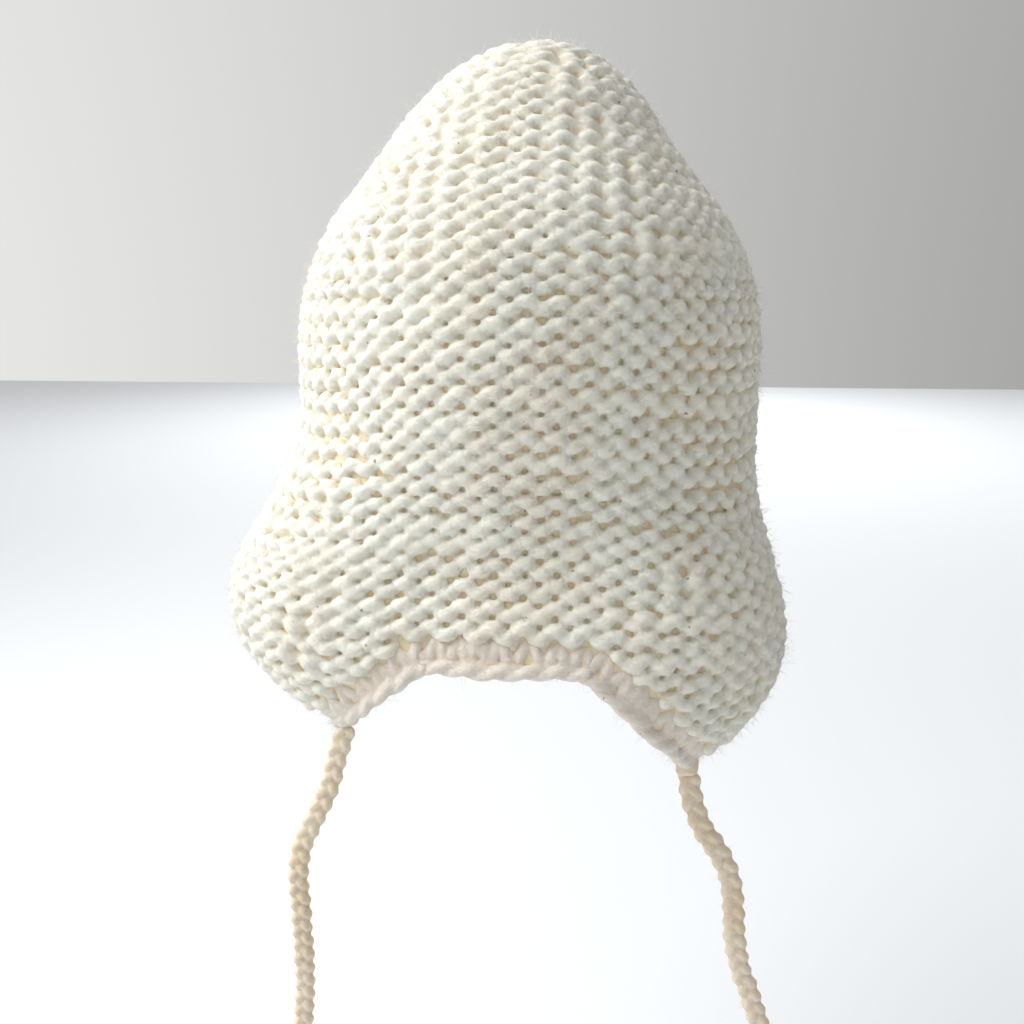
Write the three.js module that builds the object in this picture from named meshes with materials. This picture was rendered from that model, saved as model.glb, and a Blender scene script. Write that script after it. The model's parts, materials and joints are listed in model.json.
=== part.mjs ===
// A chunky hand-knitted hat with two earflaps, a crocheted edging and a plaited tie on each flap.
// Millimetres, +Z up, the front towards -Y. The origin is the centre of the head opening.
// The knitted fabric is given by its outer surface: an azimuth from the front, positive towards +X,
// and a run, which is how far the knitting has come from the middle of the crown.
import * as THREE from "three";
import { ParametricGeometry } from "three/addons/geometries/ParametricGeometry.js";
import { mergeVertices } from "three/addons/utils/BufferGeometryUtils.js";

const DEGREE = Math.PI / 180;

const WALL = 8; // one layer of knitting
const GAP = 0.6; // between neighbouring pieces
const EDGING_GAP = 2; // between a flap's knitting and its edging, which meet on a curve
const CROWN_HOLE = 7; // run at which the knitting is gathered up
const CROWN_LEAN = 4; // how far the crown's middle leans towards +X
const LEAN_FROM = 150; // height at which the lean starts
const CROWN_TOP = 190;

const EDGING_HEIGHT = 10;
const EDGING_THICKNESS = 8;
const EDGING_BELOW_HEM = 1.5; // the edging's centre line, below the hem line
const KNIT_ABOVE_HEM = EDGING_HEIGHT / 2 - EDGING_BELOW_HEM + GAP;
const FLAP_ABOVE_HEM = EDGING_HEIGHT / 2 - EDGING_BELOW_HEM + EDGING_GAP;
const HEM_BELOW_OPENING = 2; // run of the straight hem past the height of the origin
const HEM_CORNER = 0.05; // softens the corner where a flap meets the straight hem
const PAST_CORNER = 1.15; // the flap's outline is followed this far past its corner
const FLAP_POINT = 0.25; // softens a flap's point
const POINT_SHORT = 9; // the hem line stops this far before a flap's meridian does
const LEAST_DEPTH = 3; // a flap's knitting starts where it is this deep

const DROP = 10; // how far a flap's weight draws the courses down
const DROP_FROM = 110;
const DROP_OVER = 100;

const EDGING_REACH = 2.2; // degrees that a flap's edging reaches past the flap's corners
const EDGING_JOINT = 0.6; // degrees between one length of edging and the next

const TIE_DIAMETER = 9;
const ROOT_RADIUS = 4.6; // less than its distance to the tie's end, so that the tie swings round it
const ROOT_HALF_HEIGHT = 4.2;
const KNOT_RADIUS = 8.5;
const KNOT_HALF_HEIGHT = 7;
const TASSEL_RADIUS = 10;
const TASSEL_LENGTH = 34;

const BODY_SLICES = 48;
const BODY_ROWS = 15;
const FLAP_SLICES = 20;
const FLAP_ROWS = 6;
const BEAD_SIDES = 8;
const FLAP_EDGING_STEPS = 30;
const FRONT_EDGING_STEPS = 8;
const BACK_EDGING_STEPS = 20;
const TIE_STEPS = 18;
const TIE_CURVE_SEGMENTS = 5; // gives the tie ten sides

// The meridian at the front and the back, as radius and height. Below the hem it only shapes the
// sides of the flaps.
const PLAIN = [
  [0, 190], [15, 188], [29, 181.5], [42, 169.5], [53, 155], [63, 142], [72.5, 130], [79.5, 117],
  [84, 104], [86.5, 87], [87, 68], [86, 50], [85, 34], [86, 20], [89.5, 8], [93, -3], [95, -14],
  [95, -26], [93, -40], [90, -54], [86, -68], [82, -80],
];
const SHARED_POINTS = 11; // both kinds of meridian are the same above the brow

// Each flap's own meridian below the brow, and the azimuths of its corners, its point and its flare.
const LEFT = {
  name: "left",
  sign: -1,
  below: [
    [88.5, 58], [95, 43], [103.5, 29], [112, 17], [116.5, 4], [116.5, -9], [111, -22], [101, -35],
    [88.5, -45], [77, -52], [70, -54],
  ],
  front: 16,
  point: 66,
  back: 116,
  flare: 58,
  fadeFront: 52,
  fadeBack: 48,
  root: [-69.3, -31.1, -59.5],
  tie: [
    [-70.4, -31.2, -64.5], [-73.8, -31.5, -74], [-78.6, -32, -91], [-85.5, -32.8, -106],
    [-91.5, -33.5, -119], [-94, -33.9, -134], [-94.1, -33.9, -152], [-94.3, -33.9, -172],
    [-95, -34, -192], [-97, -34, -211], [-98.5, -33.6, -231], [-98.8, -33, -251],
    [-97.6, -32.4, -271], [-95.8, -32, -291], [-94.6, -31.8, -311], [-94.2, -31.8, -333],
  ],
};
const RIGHT = {
  name: "right",
  sign: 1,
  below: [
    [87.5, 58], [89, 43], [93, 29], [99, 16], [104, 2], [106, -13], [104, -28], [97, -43],
    [87, -56], [76, -65], [70, -68],
  ],
  front: 18,
  point: 66,
  back: 116,
  flare: 56,
  fadeFront: 50,
  fadeBack: 46,
  root: [65.5, -31.6, -71.5],
  tie: [
    [66.2, -31.8, -76.5], [68.4, -32.1, -87], [73.2, -32.2, -99], [80.4, -32, -110],
    [85, -32, -121.5], [87, -32.3, -134], [88.4, -32.2, -148], [91.4, -31.9, -162],
    [96.4, -31.3, -176], [101.2, -30.8, -191], [104.4, -30.8, -209], [105.6, -31, -228],
    [105.2, -31.3, -248], [103.4, -31.6, -268], [101.4, -31.8, -288], [100.2, -31.9, -308],
    [99.8, -31.9, -332], [99.8, -31.9, -346],
  ],
};

const WOOL = { color: 0xefe6d6, roughness: 0.95, metalness: 0 };
const EDGING_WOOL = { color: 0xeaddcf, roughness: 0.95, metalness: 0 };
const TIE_WOOL = { color: 0xe6d8be, roughness: 0.92, metalness: 0 };

const clamp = THREE.MathUtils.clamp;

class Meridian {
  constructor(points) {
    this.curve = new THREE.CatmullRomCurve3(points.map(([r, z]) => new THREE.Vector3(r, 0, z)));
    this.curve.arcLengthDivisions = 600;
    this.length = this.curve.getLength();
  }

  at(length) {
    return this.curve.getPointAt(clamp(length / this.length, 0, 1));
  }

  lengthAtHeight(height) {
    let low = 0;
    let high = this.length;
    for (let i = 0; i < 40; i++) {
      const middle = (low + high) / 2;
      if (this.at(middle).z > height) low = middle;
      else high = middle;
    }
    return low;
  }
}

const dropAt = (length) => DROP * THREE.MathUtils.smoothstep(length, DROP_FROM, DROP_FROM + DROP_OVER);

const plain = new Meridian(PLAIN);
const HEM_RUN = plain.lengthAtHeight(0) + HEM_BELOW_OPENING;
for (const side of [LEFT, RIGHT]) {
  side.meridian = new Meridian([...PLAIN.slice(0, SHARED_POINTS), ...side.below]);
  side.end = side.meridian.length - DROP - POINT_SHORT;
}

// Where a run lies along a flap's meridian, whose courses are drawn down by DROP.
function flapLength(run) {
  let length = run;
  for (let i = 0; i < 6; i++) length = run + dropAt(length);
  return length;
}

const sideOf = (azimuth) => (azimuth < 0 ? LEFT : RIGHT);

// How far the fabric at an azimuth follows the flap's meridian, from 0 to 1.
function flareAt(azimuth) {
  const side = sideOf(azimuth);
  const degrees = Math.abs(azimuth) / DEGREE;
  const fade = degrees < side.flare ? side.fadeFront : side.fadeBack;
  const x = clamp(Math.abs(degrees - side.flare) / fade, 0, 1);
  return 0.5 + 0.5 * Math.cos(Math.PI * x);
}

// The run at which the fabric ends: straight at the front and the back, pointed on the flaps.
function hemRun(azimuth) {
  const side = sideOf(azimuth);
  const degrees = Math.abs(azimuth) / DEGREE;
  const foot = degrees < side.point ? side.front : side.back;
  const x = clamp((degrees - side.point) / (foot - side.point), 0, PAST_CORNER);
  const round = Math.hypot(x, FLAP_POINT) - FLAP_POINT;
  const share = 1 - round / (Math.hypot(1, FLAP_POINT) - FLAP_POINT);
  const soft = 0.5 * (share + Math.hypot(share, HEM_CORNER));
  return HEM_RUN + soft * (side.end - HEM_RUN);
}

function surface(azimuth, run) {
  const flare = flareAt(azimuth);
  const point = plain.at(run).lerp(sideOf(azimuth).meridian.at(flapLength(run)), flare);
  const lean = CROWN_LEAN * clamp((point.z - LEAN_FROM) / (CROWN_TOP - LEAN_FROM), 0, 1) ** 2;
  return new THREE.Vector3(
    point.x * Math.sin(azimuth) + lean,
    -point.x * Math.cos(azimuth),
    point.z,
  );
}

// The surface's outward normal, from its two directions.
function normalAt(azimuth, run) {
  const across = surface(azimuth + 0.01, run).sub(surface(azimuth - 0.01, run));
  const down = surface(azimuth, run + 0.5).sub(surface(azimuth, run - 0.5));
  return down.cross(across).normalize();
}

const inside = (azimuth, run, depth) =>
  surface(azimuth, run).addScaledVector(normalAt(azimuth, run), -depth);

// A run that keeps a distance above the hem, measured square to it.
function aboveHem(azimuth, distance) {
  const step = 0.01;
  const run = hemRun(azimuth);
  const hem = (at) => surface(at, hemRun(at));
  const along = hem(azimuth + step).sub(hem(azimuth - step)).normalize();
  const down = surface(azimuth, run + 0.5).sub(surface(azimuth, run - 0.5));
  const square = down.addScaledVector(along, -down.dot(along)).length();
  return run - distance / square;
}

const KNIT_END_RUN = HEM_RUN - KNIT_ABOVE_HEM;

// A closed geometry: vertices shared, triangles without area left out, and every face outwards.
function closed(geometry) {
  geometry.deleteAttribute("uv");
  geometry.deleteAttribute("normal");
  const merged = mergeVertices(geometry, 1e-3);
  const corner = (k) => new THREE.Vector3().fromBufferAttribute(merged.attributes.position, k);
  const faces = [];
  let volume = 0;
  for (let i = 0; i < merged.index.count; i += 3) {
    const [a, b, c] = [0, 1, 2].map((k) => merged.index.getX(i + k));
    if (a === b || b === c || c === a) continue;
    faces.push([a, b, c]);
    volume += corner(a).dot(corner(b).cross(corner(c)));
  }
  merged.setIndex(faces.flatMap(([a, b, c]) => (volume < 0 ? [a, c, b] : [a, b, c])));
  merged.computeVertexNormals();
  return merged;
}

// A patch of fabric with thickness: place(u, side, share) gives a point on the outer side (0) or the
// inner side (1), share of the way down. The patch is closed round its upper and lower ends.
function fabric(place, slices, rows) {
  const stacks = 2 * rows + 2;
  const point = (u, v, target) => {
    const k = Math.round(v * stacks) % stacks;
    const outer = k <= rows;
    const share = outer ? k / rows : (2 * rows + 1 - k) / rows;
    target.copy(place(u, outer ? 0 : 1, share));
  };
  return closed(new ParametricGeometry(point, slices, stacks));
}

function bodyGeometry() {
  const place = (u, side, share) => {
    const azimuth = Math.PI * (2 * (u % 1) - 1);
    const run = CROWN_HOLE + (KNIT_END_RUN - CROWN_HOLE) * share;
    return inside(azimuth, run, side * WALL);
  };
  return fabric(place, BODY_SLICES, BODY_ROWS);
}

// The azimuths between which a flap is at least this deep.
function flapSpan(side, depth) {
  const top = KNIT_END_RUN + GAP;
  const deep = (degrees) => aboveHem(side.sign * degrees * DEGREE, FLAP_ABOVE_HEM) - top > depth;
  let front = side.point;
  let back = side.point;
  while (deep(front - 0.5)) front -= 0.5;
  while (deep(back + 0.5)) back += 0.5;
  return { front, back };
}

function flapGeometry(side) {
  const span = flapSpan(side, LEAST_DEPTH);
  const top = KNIT_END_RUN + GAP;
  const place = (u, layer, share) => {
    const degrees = side.sign < 0 ? THREE.MathUtils.lerp(span.back, span.front, u)
      : THREE.MathUtils.lerp(span.front, span.back, u);
    const azimuth = side.sign * degrees * DEGREE;
    const bottom = aboveHem(azimuth, FLAP_ABOVE_HEM);
    const end = u < 1e-6 || u > 1 - 1e-6;
    const at = end ? 0.5 : share;
    const depth = end ? WALL / 2 : layer * WALL;
    return inside(azimuth, THREE.MathUtils.lerp(top, bottom, at), depth);
  };
  return fabric(place, FLAP_SLICES, FLAP_ROWS);
}

// The crocheted edging between two azimuths: an oval bead along the hem with rounded ends.
function edgingGeometry(from, to, steps) {
  const centre = (azimuth) => inside(azimuth, aboveHem(azimuth, -EDGING_BELOW_HEM), WALL / 2);
  const point = (u, v, target) => {
    const azimuth = THREE.MathUtils.lerp(from, to, u);
    const along = centre(azimuth + 0.005).sub(centre(azimuth - 0.005)).normalize();
    const out = normalAt(azimuth, hemRun(azimuth));
    const down = along.clone().cross(out).normalize();
    const turn = 2 * Math.PI * (v % 1);
    const size = Math.sqrt(1 - (2 * u - 1) ** 20);
    target.copy(centre(azimuth))
      .addScaledVector(down, 0.5 * EDGING_HEIGHT * size * Math.cos(turn))
      .addScaledVector(out, 0.5 * EDGING_THICKNESS * size * Math.sin(turn));
  };
  return closed(new ParametricGeometry(point, steps, BEAD_SIDES));
}

// The little rosette where the last stitches are drawn together.
function gatherGeometry() {
  const radius = CROWN_HOLE - 2;
  const top = CROWN_TOP - 0.5;
  const profile = [[0, -WALL], [0.7, -WALL], [1, -WALL + 1.5], [1, -2], [0.7, -0.5], [0, 0]];
  const outline = profile.map(([r, z]) => new THREE.Vector2(r * radius, z));
  const geometry = new THREE.LatheGeometry(outline, 14).rotateX(Math.PI / 2);
  return closed(geometry.translate(CROWN_LEAN, 0, top));
}

function tieGeometry(side) {
  const route = new THREE.CatmullRomCurve3(side.tie.map((p) => new THREE.Vector3(...p)));
  const section = new THREE.Shape().absarc(0, 0, TIE_DIAMETER / 2, 0, 2 * Math.PI);
  return closed(new THREE.ExtrudeGeometry(section, {
    steps: TIE_STEPS,
    curveSegments: TIE_CURVE_SEGMENTS,
    bevelEnabled: false,
    extrudePath: route,
  }));
}

const ovalGeometry = (radius, halfHeight) =>
  closed(new THREE.SphereGeometry(1, 12, 8).rotateX(Math.PI / 2).scale(radius, radius, halfHeight));

// A tassel hanging from its top at the origin: strands that spread a little.
function tasselGeometry() {
  const outline = [[0, -1], [0.55, -1], [0.85, -0.97], [0.9, -0.6], [0.6, -0.15], [0.3, 0], [0, 0]];
  const points = outline.map(([r, z]) => new THREE.Vector2(r * TASSEL_RADIUS, z * TASSEL_LENGTH));
  return closed(new THREE.LatheGeometry(points, 12).rotateX(Math.PI / 2));
}

function named(name, geometry, wool, position = [0, 0, 0]) {
  const mesh = new THREE.Mesh(geometry, new THREE.MeshStandardMaterial(wool));
  mesh.name = name;
  mesh.position.set(...position);
  return mesh;
}

function flapPieces(side) {
  const span = flapSpan(side, 0);
  const ends = [side.sign * (span.front - EDGING_REACH), side.sign * (span.back + EDGING_REACH)];
  const [from, to] = side.sign < 0 ? [ends[1], ends[0]] : ends;
  side.edging = { from: from * DEGREE, to: to * DEGREE };
  const edging = edgingGeometry(side.edging.from, side.edging.to, FLAP_EDGING_STEPS);
  return [
    named(`earflap_${side.name}`, flapGeometry(side), WOOL),
    named(`edging_flap_${side.name}`, edging, EDGING_WOOL),
  ];
}

function tiePieces(side) {
  const [x, y, z] = side.tie.at(-1);
  const knot = z - KNOT_HALF_HEIGHT - GAP;
  const tassel = knot - KNOT_HALF_HEIGHT - GAP;
  return [
    named(`tie_root_${side.name}`, ovalGeometry(ROOT_RADIUS, ROOT_HALF_HEIGHT), TIE_WOOL, side.root),
    named(`tie_${side.name}`, tieGeometry(side), TIE_WOOL),
    named(`tie_knot_${side.name}`, ovalGeometry(KNOT_RADIUS, KNOT_HALF_HEIGHT), TIE_WOOL, [x, y, knot]),
    named(`tassel_${side.name}`, tasselGeometry(), TIE_WOOL, [x, y, tassel]),
  ];
}

const hat = new THREE.Group();
hat.add(named("knit_body", bodyGeometry(), WOOL));
hat.add(named("crown_gather", gatherGeometry(), WOOL));
for (const side of [LEFT, RIGHT]) {
  hat.add(...flapPieces(side), ...tiePieces(side));
}

// The straight lengths of edging run between the two flaps' edgings, at the front and round the back.
const between = (start, stop, steps) =>
  edgingGeometry(start + EDGING_JOINT * DEGREE, stop - EDGING_JOINT * DEGREE, steps);
const front = between(LEFT.edging.to, RIGHT.edging.from, FRONT_EDGING_STEPS);
const back = between(RIGHT.edging.to, 2 * Math.PI + LEFT.edging.from, BACK_EDGING_STEPS);
hat.add(named("edging_front", front, EDGING_WOOL), named("edging_back", back, EDGING_WOOL));

export default hat;
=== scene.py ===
# %% [markdown]
# # A chunky knitted hat with earflaps and plaited ties
# The hat is knitted from one thick, softly spun strand of undyed wool, with the purl side out.
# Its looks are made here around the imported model, which gives every size and every joint.
# Wool this thick shows each stitch as a real lobe of yarn, so the fabric is built from strands
# that follow the path a knitted yarn takes, and not from a smooth shell with a bumpy picture.

# %% Load the frame
import json
import math

import bmesh
import bpy
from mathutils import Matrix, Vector
from mathutils.kdtree import KDTree
import numpy as np

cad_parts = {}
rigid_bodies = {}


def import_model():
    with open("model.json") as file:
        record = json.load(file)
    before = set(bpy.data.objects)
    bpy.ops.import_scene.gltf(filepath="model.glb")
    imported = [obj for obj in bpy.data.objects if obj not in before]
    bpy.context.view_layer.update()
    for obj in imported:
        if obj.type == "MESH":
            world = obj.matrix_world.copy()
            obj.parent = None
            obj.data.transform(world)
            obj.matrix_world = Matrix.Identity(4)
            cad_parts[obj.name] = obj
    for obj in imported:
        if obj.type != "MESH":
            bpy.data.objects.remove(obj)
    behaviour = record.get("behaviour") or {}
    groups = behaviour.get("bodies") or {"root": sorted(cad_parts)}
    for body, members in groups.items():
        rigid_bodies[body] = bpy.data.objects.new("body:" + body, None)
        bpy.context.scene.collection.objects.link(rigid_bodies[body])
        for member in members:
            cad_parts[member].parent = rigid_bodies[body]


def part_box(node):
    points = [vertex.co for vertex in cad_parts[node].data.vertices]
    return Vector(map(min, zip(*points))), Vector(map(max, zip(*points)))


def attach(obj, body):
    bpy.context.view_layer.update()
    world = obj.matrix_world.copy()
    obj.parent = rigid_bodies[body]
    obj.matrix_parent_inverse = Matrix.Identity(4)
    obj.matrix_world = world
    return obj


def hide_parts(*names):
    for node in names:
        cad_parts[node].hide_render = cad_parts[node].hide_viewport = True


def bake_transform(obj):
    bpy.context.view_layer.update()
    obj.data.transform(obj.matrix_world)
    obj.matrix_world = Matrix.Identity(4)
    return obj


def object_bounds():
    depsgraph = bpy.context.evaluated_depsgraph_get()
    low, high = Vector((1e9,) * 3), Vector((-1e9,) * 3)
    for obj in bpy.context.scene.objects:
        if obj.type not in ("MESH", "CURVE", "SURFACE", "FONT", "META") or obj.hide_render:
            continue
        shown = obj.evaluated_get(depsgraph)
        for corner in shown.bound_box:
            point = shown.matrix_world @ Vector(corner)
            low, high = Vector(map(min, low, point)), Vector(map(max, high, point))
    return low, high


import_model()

MM = 0.001
TURN = 2 * math.pi
cad_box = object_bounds()
scene = bpy.context.scene

# %% [markdown]
# ## Camera
# The camera stands close to the hat and looks a little down on it, so that the crown seems to
# lean back. A short lens at a short distance gives the strong perspective of a close view.

# %% Camera
LENS = 27.035
LOOK_DOWN = 13.9
LOOK_ASIDE = 6.5
camera_data = bpy.data.cameras.new("camera")
camera_data.sensor_width = 36
camera_data.lens = LENS
camera_data.clip_start = 0.01
camera = bpy.data.objects.new("camera", camera_data)
camera.location = (0.02815, -0.3028, 0.095)
camera.rotation_euler = (math.radians(90 - LOOK_DOWN), 0, math.radians(LOOK_ASIDE))
scene.collection.objects.link(camera)
scene.camera = camera
print(f"camera: {LENS:.0f} mm lens, {-camera.location.y:.2f} m away, {LOOK_DOWN} degrees down")

# %% [markdown]
# ## Lines and strands
# Yarn is a round strand whose thickness wanders, because softly spun wool is thick and thin.
# A curve with a bevel makes such a strand: each of its points has its own radius, and one curve
# object can hold a whole patch of fabric. The finished curve is turned into a mesh, which then
# carries two notes for the material: where each point lies along and round its strand, and how
# far it stands out of the fabric.

# %% A smooth line through points
def smooth_line(points, steps):
    """A centripetal Catmull-Rom line through the points, with the same number of steps in each span."""
    p = np.array(points, float)
    p = np.vstack([2 * p[0] - p[1], p, 2 * p[-1] - p[-2]])
    t = np.linspace(0, 1, steps, endpoint=False)[:, None]
    out = []
    for a, b, c, d in zip(p, p[1:], p[2:], p[3:]):
        gaps = [max(float(np.sum((v - u) ** 2)) ** 0.25, 1e-4) for u, v in ((a, b), (b, c), (c, d))]
        start = ((b - a) / gaps[0] - (c - a) / (gaps[0] + gaps[1]) + (c - b) / gaps[1]) * gaps[1]
        stop = ((c - b) / gaps[1] - (d - b) / (gaps[1] + gaps[2]) + (d - c) / gaps[2]) * gaps[1]
        out.append(b + start * t + (3 * (c - b) - 2 * start - stop) * t**2
                   + (2 * (b - c) + start + stop) * t**3)
    return np.vstack([*out, p[-2]])


def lengths_along(points):
    return np.r_[0, np.cumsum(np.linalg.norm(np.diff(points, axis=0), axis=1))]


def even_line(points, spacing):
    """The same line with its points a chosen distance apart."""
    along = lengths_along(points)
    count = max(2, int(round(along[-1] / spacing)) + 1)
    at = np.linspace(0, along[-1], count)
    return np.column_stack([np.interp(at, along, points[:, k]) for k in range(3)])


TINY = 1e-9


def unit(v):
    """The same directions, each with a length of one. Where there is no direction, it stays zero."""
    return v / np.maximum(np.linalg.norm(v, axis=-1, keepdims=True), TINY)

# %% Thick and thin
chance = np.random.default_rng(7)


def wander(count, per_wave, amount):
    """A random walk that swings smoothly about nothing, for a strand's thickness or place."""
    knots = chance.normal(0, amount, max(2, int(count / per_wave) + 2))
    return np.interp(np.linspace(0, len(knots) - 1, count), np.arange(len(knots)), knots)

# %% One strand
class Strand:
    """A yarn: its centre line and radius in millimetres, and the middle of its fabric with the
    direction out of it, which tell how far each side of the yarn stands out."""

    ROUNDING = np.array([(0.5, 0.87), (0.87, 0.5), (1.0, 0.06)])  # how far past the end, and how thick
    PAD = ((len(ROUNDING), len(ROUNDING)), (0, 0))

    def __init__(self, points, radius, middle, out):
        points = np.asarray(points, float)
        radius = np.broadcast_to(np.asarray(radius, float), len(points))
        first, last = unit(points[0] - points[1]), unit(points[-1] - points[-2])
        before = points[0] + first * radius[0] * self.ROUNDING[::-1, :1]
        after = points[-1] + last * radius[-1] * self.ROUNDING[:, :1]
        self.points = np.vstack([before, points, after])
        self.radius = np.concatenate([radius[0] * self.ROUNDING[::-1, 1], radius,
                                      radius[-1] * self.ROUNDING[:, 1]])
        self.middle = np.pad(middle, self.PAD, "edge")
        self.out = np.pad(out, self.PAD, "edge")

# %% [markdown]
# ## Felting
# Worn wool felts: where two strands press on each other their fibres grow together, and the yarn
# loses its hard round look. Bare tubes look like beads or rope. A cloth simulation moves fabric but
# doesn't join it, so a voxel remesh does this instead: it turns crossing tubes into one closed
# skin, and a little smoothing rounds the new creases. A remesh drops attributes, and so each new
# point takes over what the nearest old point carried.

# %% Small helpers for meshes
def link(obj):
    scene.collection.objects.link(obj)
    return obj


def show(name, mesh, made_of):
    """Puts a finished mesh in the scene as a piece, and says what it is made of."""
    mesh.name = name
    mesh.calc_loop_triangles()
    print(f"{name}: {made_of}, {len(mesh.loop_triangles)} triangles")
    return link(bpy.data.objects.new(name, mesh))


def places(mesh):
    flat = np.empty(len(mesh.vertices) * 3)
    mesh.vertices.foreach_get("co", flat)
    return flat.reshape(-1, 3)


def normals(mesh):
    flat = np.empty(len(mesh.vertices) * 3)
    mesh.vertex_normals.foreach_get("vector", flat)
    return flat.reshape(-1, 3)


def write_attribute(mesh, name, kind, values):
    field = "vector" if kind == "FLOAT_VECTOR" else "value"
    layer = mesh.attributes.new(name, kind, "POINT")
    layer.data.foreach_set(field, np.asarray(values, np.float32).ravel())


def evaluated_copy(holder):
    bpy.context.view_layer.update()
    return bpy.data.meshes.new_from_object(holder.evaluated_get(bpy.context.evaluated_depsgraph_get()))

# %% Close and soften
FELT_SMOOTHING = 3


def close_ends(mesh):
    shape = bmesh.new()
    shape.from_mesh(mesh)
    rims = [edge for edge in shape.edges if edge.is_boundary]
    bmesh.ops.holes_fill(shape, edges=rims, sides=16)
    shape.to_mesh(mesh)
    shape.free()


def soften(holder):
    smooth = holder.modifiers.new("smooth", "SMOOTH")
    smooth.factor = 0.5
    smooth.iterations = FELT_SMOOTHING

# %% Grow strands together
def felt(mesh, voxel, most):
    """The mesh with its strands grown together where they touch, and for each new vertex the
    number of the old one that is nearest to it."""
    tree = KDTree(len(mesh.vertices))
    for number, place in enumerate(places(mesh).tolist()):
        tree.insert(place, number)
    tree.balance()
    holder = link(bpy.data.objects.new("loose_strands", mesh))
    grow = holder.modifiers.new("grow_together", "REMESH")
    grow.mode = "VOXEL"
    grow.voxel_size = voxel * MM
    soften(holder)
    grown = evaluated_copy(holder)
    triangles = 2 * len(grown.polygons)
    if triangles > most:
        holder.modifiers.clear()
        holder.data = grown
        fewer = holder.modifiers.new("fewer", "DECIMATE")
        fewer.ratio = most / triangles
        soften(holder)
        grown = evaluated_copy(holder)
    bpy.data.objects.remove(holder)
    return grown, np.array([tree.find(place)[1] for place in places(grown).tolist()])

# %% Round strands as a mesh
def tubes(name, lines, radii, roundness):
    """One mesh of tubes. Each has its own line and a radius at each of its points."""
    curve = bpy.data.curves.new(name, "CURVE")
    curve.dimensions = "3D"
    curve.bevel_depth = MM
    curve.bevel_resolution = roundness
    for line, radius in zip(lines, radii):
        spline = curve.splines.new("POLY")
        spline.points.add(len(line) - 1)
        spline.points.foreach_set("co", np.column_stack([line * MM, np.ones(len(line))]).ravel())
        spline.points.foreach_set("radius", radius)
    holder = link(bpy.data.objects.new(name + "_line", curve))
    mesh = evaluated_copy(holder)
    bpy.data.objects.remove(holder)
    bpy.data.curves.remove(curve)
    mesh.name = name
    return mesh

# %% What the surface of a strand carries
TWIST_LENGTH = 26  # of softly spun yarn, for one turn of its fibres
FAR_APART = 500  # yarns start up to this far along, so that no two have the same streaks


def along_and_round(strand, sides):
    """How far along its yarn each vertex lies, and where round the yarn's twisted middle."""
    along = lengths_along(strand.points) + chance.uniform(0, FAR_APART)
    round_turn = np.arange(sides) * TURN / sides
    angle = round_turn[None, :] + (TURN * along / TWIST_LENGTH)[:, None]
    size = strand.radius[:, None]
    return np.stack([np.repeat(along[:, None], sides, 1), size * np.cos(angle),
                     size * np.sin(angle)], axis=2).reshape(-1, 3)


def lift_of(strand, where):
    """How far each vertex stands out of the middle of the fabric."""
    away = where - strand.middle[:, None, :]
    return np.einsum("nsk,nk->ns", away, strand.out).ravel()

# %% Strands made into one piece
def spin(name, strands, roundness=4, voxel=0.7, most=30_000):
    """One mesh piece from many strands, with the attributes yarn and lift."""
    mesh = tubes(name, [s.points for s in strands], [s.radius for s in strands], roundness)
    sides = 4 + 2 * roundness
    count = sum(len(s.points) for s in strands)
    assert len(mesh.vertices) == sides * count, (name, len(mesh.vertices), sides * count)
    where = places(mesh).reshape(count, sides, 3) / MM
    yarn, lift = [], []
    first = 0
    for strand in strands:
        last = first + len(strand.points)
        yarn.append(along_and_round(strand, sides))
        lift.append(lift_of(strand, where[first:last]))
        first = last
    close_ends(mesh)
    mesh, nearest = felt(mesh, voxel, most)
    write_attribute(mesh, "yarn", "FLOAT_VECTOR", np.vstack(yarn)[nearest])
    write_attribute(mesh, "lift", "FLOAT", np.concatenate(lift)[nearest])
    mesh.shade_smooth()
    return show(name, mesh, f"{len(strands)} strands")

# %% [markdown]
# ## The ties
# Each tie is a plait of three strands, and hangs from the point of its flap by its own weight.
# A three-strand plait has a simple path: every strand swings from side to side once a repeat and
# to the front and back twice, a third of a repeat behind its neighbour. The routes repeat those of
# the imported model, so each plait lies where its collision solid does. Each strand could also be
# bent by hand, but three waves are shorter to write and stay even along the whole tie.

# %% The ties' routes, in millimetres
TIE_ROUTES = {
    "left": [
        (-70.4, -31.2, -64.5), (-73.8, -31.5, -74), (-78.6, -32, -91), (-85.5, -32.8, -106),
        (-91.5, -33.5, -119), (-94, -33.9, -134), (-94.1, -33.9, -152), (-94.3, -33.9, -172),
        (-95, -34, -192), (-97, -34, -211), (-98.5, -33.6, -231), (-98.8, -33, -251),
        (-97.6, -32.4, -271), (-95.8, -32, -291), (-94.6, -31.8, -311), (-94.2, -31.8, -333),
    ],
    "right": [
        (66.2, -31.8, -76.5), (68.4, -32.1, -87), (73.2, -32.2, -99), (80.4, -32, -110),
        (85, -32, -121.5), (87, -32.3, -134), (88.4, -32.2, -148), (91.4, -31.9, -162),
        (96.4, -31.3, -176), (101.2, -30.8, -191), (104.4, -30.8, -209), (105.6, -31, -228),
        (105.2, -31.3, -248), (103.4, -31.6, -268), (101.4, -31.8, -288), (100.2, -31.9, -308),
        (99.8, -31.9, -332), (99.8, -31.9, -346),
    ],
}
TIE_WIDTH = 9
STRAND_RADIUS = 2.1
REPEAT = 21
PLAIT_SPREAD = 1.12
PLAIT_FLATNESS = 0.55

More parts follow.
